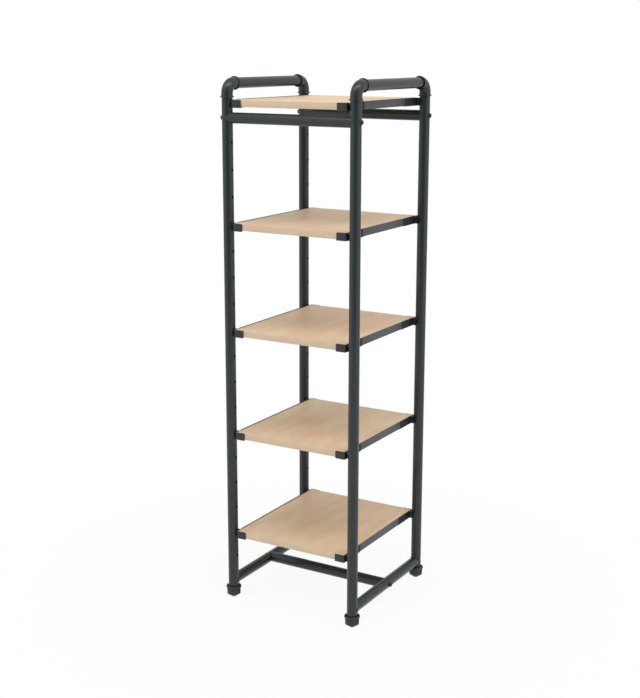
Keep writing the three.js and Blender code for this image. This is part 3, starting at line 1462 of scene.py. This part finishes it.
@dataclass
class ShelfPanels:
    """Five lift-off shelves: a board on two angle bars, held by screws from below."""

    beech: Finish
    steel: Finish
    oxide: Finish
    count: int = 5
    edge_round: float = 1.2 * MM
    edge_steps: int = 4
    bar_thickness: float = 1.5 * MM
    skirt_thickness: float = 2 * MM
    skirt_rise: float = 1.2 * MM
    bar_edge: float = 0.35 * MM
    screw_radius: float = 3.4 * MM
    screw_height: float = 1.4 * MM
    screw_spacing: float = 85 * MM
    screw_angles: tuple[float, ...] = (25, 50, 72, 85)
    screw_sides: int = 20
    slot_reach: float = 2.04 * MM
    slot_half_width: float = 0.4 * MM
    slot_depth: float = 0.7 * MM

    def bar(self) -> Object:
        """Models the right angle bar of the lowest shelf: a level flange and a skirt.

        Returns:
            The bar.
        """
        low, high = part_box("shelf_1_side_bar_right")
        bar = slab("shelf_1_angle_right", low, Vector((high.x, high.y, low.z + self.bar_thickness)))
        edge = high.x - self.skirt_thickness
        rise = high.z + self.skirt_rise - low.z - self.bar_thickness
        with editing(bar):
            split(X_AXIS, edge)
            pick_faces(bar, lambda middle, normal: normal.z > FACING and middle.x > edge)
            push(Z_AXIS * rise)
        soften(bar, self.bar_edge)
        return bar

    def screws(self) -> Object:
        """Models the row of screw heads under the right bar of the lowest shelf.

        Returns:
            The heads, as one piece.
        """
        low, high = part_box("shelf_1_side_bar_right")
        middle = (low.x + high.x - self.skirt_thickness) / 2
        reach = (self.screw_radius, self.screw_height)
        rings = [(self.screw_radius, 0.0), *rounding((0.0, 0.0), reach, self.screw_angles)]
        heads = []
        for i in (-1, 0, 1):
            foot = Vector((middle, i * self.screw_spacing, low.z))
            head = turned(f"screw_{i}", foot, -Z_AXIS, rings, self.screw_sides)
            tip = foot - Z_AXIS * self.screw_height
            # The cross for the screwdriver is cut by two bars, one after the other
            for along, across in ((X_AXIS, Y_AXIS), (Y_AXIS, X_AXIS)):
                half = along * self.slot_reach + across * self.slot_half_width
                lowest = tip - half - Z_AXIS * self.screw_height
                carve(head, [slab("slot", lowest, tip + half + Z_AXIS * self.slot_depth)])
            heads.append(head)
        screws = join(heads[0], heads[1:])
        return settle(screws, "shelf_1_screws_right")

    def build(self) -> None:
        """Makes every shelf's board, bars and screws."""
        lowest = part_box("shelf_1_board")[1].z
        bar = self.bar()
        screws = self.screws()
        for number in range(self.count, 0, -1):
            body = f"shelf_{number}_panel"
            low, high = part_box(f"shelf_{number}_board")
            board = slab(f"shelf_{number}_top", low, high)
            soften(board, self.edge_round, self.edge_steps)
            hand_over(board, self.beech, body, f"shelf_{number}_board")
            rise = Z_AXIS * (high.z - lowest)
            bar_names = (f"shelf_{number}_angle_*", f"shelf_{number}_side_bar_*")
            screw_names = f"shelf_{number}_screws_*"
            for word, place in SIDES.items():
                side = {word: place}
                hand_over_each(bar, self.steel, body, side, *bar_names, move=rise)
                hand_over_each(screws, self.oxide, body, side, screw_names, move=rise)


@dataclass
class CornerSeats:
    """Moulded cups on the posts, one under each corner of each shelf."""

    nylon: Finish
    stock: TubeStock
    count: int = 5
    arm_lip: float = 14 * MM
    front_lip: float = 24 * MM
    front_length: float = 30 * MM
    wall: float = 2 * MM
    floor: float = 2.5 * MM
    side_rise: float = 1.2 * MM
    floor_setback: float = 9 * MM
    lug_width: float = 7 * MM
    lug_setback: float = 5 * MM
    lug_sink: float = 0.7
    peg_radius: float = 4 * MM
    peg_sides: int = 24
    peg_drop: float = 4.5 * MM
    corner_round: float = 2.4 * MM
    corner_steps: int = 5
    edge: float = 0.5 * MM
    cutter_spare: float = 24 * MM
    flat_angle: float = 1.0

    def shell(self, low: Vector, high: Vector) -> Object:
        """Models the floor, the two walls and the lug of the seat, still as a full rectangle.

        Args:
            low: The lowest corner of the frame's own seat.
            high: Its highest corner.

        Returns:
            The shell.
        """
        outer_x = low.x + self.front_length
        inner_x = outer_x - self.wall
        inner_y = low.y + self.wall
        side_start = low.y + self.front_lip
        post = self.stock.front_right
        lug_middle = post.y + self.lug_setback
        lug_low, lug_high = lug_middle - self.lug_width / 2, lug_middle + self.lug_width / 2
        shell = slab("shelf_1_cup_front_right", low, Vector((outer_x, high.y, low.z + self.floor)))
        with editing(shell):
            for place in (inner_x, outer_x - self.arm_lip):
                split(X_AXIS, place)
            for place in (inner_y, side_start, lug_low, lug_high):
                split(Y_AXIS, place)
            pick_faces(
                shell,
                lambda middle, normal: normal.z > FACING
                and (middle.x > inner_x or middle.y < inner_y),
            )
            push(Z_AXIS * (high.z - low.z - self.floor))
            pick_faces(
                shell,
                lambda middle, normal: normal.x > FACING
                and middle.x > outer_x - TINY
                and lug_low < middle.y < lug_high,
            )
            push(X_AXIS * (post.x - self.stock.radius * self.lug_sink - outer_x))
            pick_faces(
                shell,
                lambda middle, normal: normal.z > FACING
                and middle.z > high.z - TINY
                and inner_x < middle.x < outer_x
                and middle.y > side_start,
            )
            push(Z_AXIS * self.side_rise)
        return shell

    def seat(self) -> Object:
        """Models the front right seat of the lowest shelf.

        Returns:
            The seat.
        """
        low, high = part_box("shelf_1_seat_front_right")
        outer_x = low.x + self.front_length
        post = self.stock.front_right
        seat = self.shell(low, high)
        spare = self.cutter_spare
        notch = slab(
            "notch",
            Vector((low.x - spare, low.y + self.front_lip, low.z - spare)),
            Vector((outer_x - self.arm_lip, high.y + spare, high.z + spare)),
        )
        gap = slab(
            "gap",
            Vector((low.x - spare, low.y + self.wall, low.z - spare)),
            Vector((low.x + self.floor_setback, high.y, high.z + spare)),
        )
        carve(seat, [notch])
        carve(seat, [gap])
        carve(seat, [self.stock.cope_cutter("post_cope", post + Z_AXIS * low.z, Z_AXIS)])
        with editing(seat):
            bpy.ops.mesh.select_all(action="SELECT")
            bpy.ops.mesh.dissolve_limited(angle_limit=math.radians(self.flat_angle))
            # The upright edge between the two walls, and the top corner of the front wall's end
            pick_edges(
                seat,
                lambda *ends: all(near(end.x, outer_x) and near(end.y, low.y) for end in ends)
                or all(near(end.x, low.x) and near(end.z, high.z) for end in ends),
            )
            bpy.ops.mesh.bevel(
                offset=self.corner_round,
                segments=self.corner_steps,
                affect="EDGES",
            )
        soften(seat, self.edge)
        peg_height = Z_AXIS * (high.z - self.peg_drop)
        peg_start = Vector((outer_x - self.wall, post.y, 0)) + peg_height
        peg_end = Vector((high.x, post.y, 0)) + peg_height
        return join(seat, [rod("peg", peg_start, peg_end, self.peg_radius, self.peg_sides)])

    def build(self) -> None:
        """Makes the four seats of every shelf."""
        seat = self.seat()
        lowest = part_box("shelf_1_board")[1].z
        for number in range(self.count, 0, -1):
            rise = Z_AXIS * (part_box(f"shelf_{number}_board")[1].z - lowest)
            names = (f"shelf_{number}_cup_*", f"shelf_{number}_seat_*")
            hand_over_each(seat, self.nylon, ROOT_BODY, CORNERS, *names, move=rise)


# Studio


@dataclass
class Camera:
    """The camera, where the picture was taken from."""

    place: Vector = field(default_factory=lambda: Vector((1.78098, -3.05528, 1.58227)))
    turn: float = 30.3775
    tilt: float = 12.5955
    roll: float = 0.1519
    lens: float = 64.904
    sensor: float = 36.0
    shift_x: float = -0.00611
    shift_y: float = -0.02825

    def build(self) -> None:
        """Adds the camera and makes it the scene's own."""
        turn, tilt, roll = (math.radians(a) for a in (self.turn, self.tilt, self.roll))
        forward = Vector((-math.sin(turn), math.cos(turn), 0))
        ahead = forward * math.cos(tilt) - Z_AXIS * math.sin(tilt)
        level = Vector((math.cos(turn), math.sin(turn), 0))
        above = level.cross(ahead)
        right = level * math.cos(roll) + above * math.sin(roll)
        up = above * math.cos(roll) - level * math.sin(roll)
        data = bpy.data.cameras.new("camera")
        data.lens = self.lens
        data.sensor_width = self.sensor
        data.shift_x = self.shift_x
        data.shift_y = self.shift_y
        camera = bpy.data.objects.new("camera", data)
        axes = Matrix((right, up, -ahead)).transposed()
        camera.matrix_world = Matrix.Translation(self.place) @ axes.to_4x4()
        bpy.context.scene.collection.objects.link(camera)
        bpy.context.scene.camera = camera


@dataclass
class Softbox:
    """One large soft lamp that points at a spot."""

    name: str
    place: Vector
    aim: Vector
    width: float
    height: float
    power: float

    def build(self) -> None:
        """Adds the lamp."""
        data = bpy.data.lights.new(self.name, "AREA")
        data.shape = "RECTANGLE"
        data.size = self.width
        data.size_y = self.height
        data.energy = self.power
        lamp = bpy.data.objects.new(self.name, data)
        lamp.location = self.place
        lamp.rotation_euler = (self.aim - self.place).to_track_quat("-Z", "Y").to_euler()
        bpy.context.scene.collection.objects.link(lamp)


@dataclass
class Studio:
    """A round pale floor between white walls that are dim behind the camera, and two lamps."""

    camera_turn: float = 30.4
    floor_radius: float = 3.7
    floor_sides: int = 96
    floor_colour: str = "#e4e4e4"
    white_share: float = 0.93
    shadow_reach: Pair = (0.5, 1.3)
    back_level: float = 0.78
    side_level: float = 1.12
    dim_level: float = 0.19
    dim_spread: Pair = (25.0, 58.0)
    side_spread: Pair = (87.0, 107.0)
    strip_power: float = 37.0
    side_power: float = 5.0

    def around(self, turn: float, reach: float, height: float) -> Vector:
        """Finds a place round the unit.

        Args:
            turn: How far it lies from the camera's side, in degrees, positive to the right.
            reach: How far from the unit's middle it is.
            height: How high it is.

        Returns:
            The place.
        """
        angle = math.radians(self.camera_turn - 90 + turn)
        return Vector((reach * math.cos(angle), reach * math.sin(angle), height))

    def lamps(self) -> list[Softbox]:
        """Lists the lamps: a long strip above the front, and a box at the camera's right.

        Returns:
            The lamps.
        """
        return [
            Softbox(
                name="strip_over_front",
                place=self.around(turn=0, reach=1.15, height=3.6),
                aim=Vector((0, 0, 1.2)),
                width=4.6,
                height=0.5,
                power=self.strip_power,
            ),
            Softbox(
                name="box_right",
                place=self.around(turn=45, reach=3.6, height=0.9),
                aim=Vector((0, 0, 0.8)),
                width=1.8,
                height=1.8,
                power=self.side_power,
            ),
        ]

    def surround(self) -> None:
        """Sets the world: plain white where the camera sees it, and white walls as light."""
        world = bpy.data.worlds.new("studio_walls")
        bpy.context.scene.world = world
        tree = empty_tree(world)
        direction = add_node(tree, "ShaderNodeTexCoord").outputs["Generated"]
        towards = add_node(
            tree,
            "ShaderNodeVectorMath",
            {0: direction, 1: self.around(turn=0, reach=1, height=0)},
            operation="DOT_PRODUCT",
        )
        # The walls brighten from the back to the sides, and fade out behind the camera
        rising, fading = (
            add_node(
                tree,
                "ShaderNodeMapRange",
                stretch(towards, tuple(math.cos(math.radians(a)) for a in (far, close)), levels),
                interpolation_type="SMOOTHSTEP",
            )
            for (close, far), levels in (
                (self.side_spread, (self.back_level, self.side_level)),
                (self.dim_spread, (self.side_level, self.dim_level)),
            )
        )
        light = add_node(tree, "ShaderNodeMath", {0: rising, 1: fading}, operation="MINIMUM")
        seen = add_node(tree, "ShaderNodeLightPath").outputs["Is Camera Ray"]
        level = add_node(
            tree,
            "ShaderNodeMix",
            {"Factor": seen, "A": light, "B": 1.0},
            data_type="FLOAT",
        )
        white = (1, 1, 1, 1)
        walls = add_node(tree, "ShaderNodeBackground", {"Color": white, "Strength": level})
        add_node(tree, "ShaderNodeOutputWorld", {"Surface": walls})

    def floor(self) -> None:
        """Adds the floor, white where it shows, apart from a faint shadow under the unit."""
        ground = disc("floor", Vector((0, 0, 0)), Z_AXIS, self.floor_radius, self.floor_sides)
        material = bpy.data.materials.new("white_paper_floor")
        tree = empty_tree(material)
        place = add_node(tree, "ShaderNodeTexCoord").outputs["Object"]
        reach = add_node(tree, "ShaderNodeVectorMath", {0: place}, operation="LENGTH")
        share = add_node(
            tree,
            "ShaderNodeMapRange",
            stretch(reach, self.shadow_reach, (self.white_share, 1.0)),
            interpolation_type="SMOOTHSTEP",
        )
        rays = add_node(tree, "ShaderNodeLightPath").outputs
        shown = rays["Is Camera Ray"]
        for ray in ("Is Glossy Ray", "Is Transmission Ray"):
            shown = add_node(tree, "ShaderNodeMath", {0: shown, 1: rays[ray]}, operation="MAXIMUM")
        white = add_node(tree, "ShaderNodeMath", {0: shown, 1: share}, operation="MULTIPLY")
        paper = add_node(tree, "ShaderNodeBsdfDiffuse", {"Color": linear(self.floor_colour)})
        glow = add_node(tree, "ShaderNodeEmission", {"Strength": 1.0})
        mixed = add_node(tree, "ShaderNodeMixShader", {0: white, 1: paper, 2: glow})
        add_node(tree, "ShaderNodeOutputMaterial", {"Surface": mixed})
        ground.data.materials.append(material)

    def build(self) -> None:
        """Adds the walls, the floor and the lamps."""
        self.surround()
        self.floor()
        for lamp in self.lamps():
            lamp.build()
        bpy.context.scene.view_settings.view_transform = "Standard"


def main() -> None:
    """Loads the frame, makes every piece and sets up the picture."""
    logging.basicConfig(level=logging.INFO, format="%(message)s")
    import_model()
    Camera().build()
    stock = TubeStock()
    coat, nylon, oxide = PowderCoat(), MouldedNylon(), BlackOxide()
    Posts(coat, stock).build()
    Elbows(coat, stock).build()
    HandleTubes(coat, stock).build()
    FootCaps(nylon, stock).build()
    BaseRails(coat, stock).build()
    CrossTubes(coat, stock).build()
    Bolts(oxide, stock).build()
    ShelfPanels(LacqueredBeech(), BarSteel(), oxide).build()
    CornerSeats(nylon, stock).build()
    Studio().build()


if __name__ == "__main__":
    main()
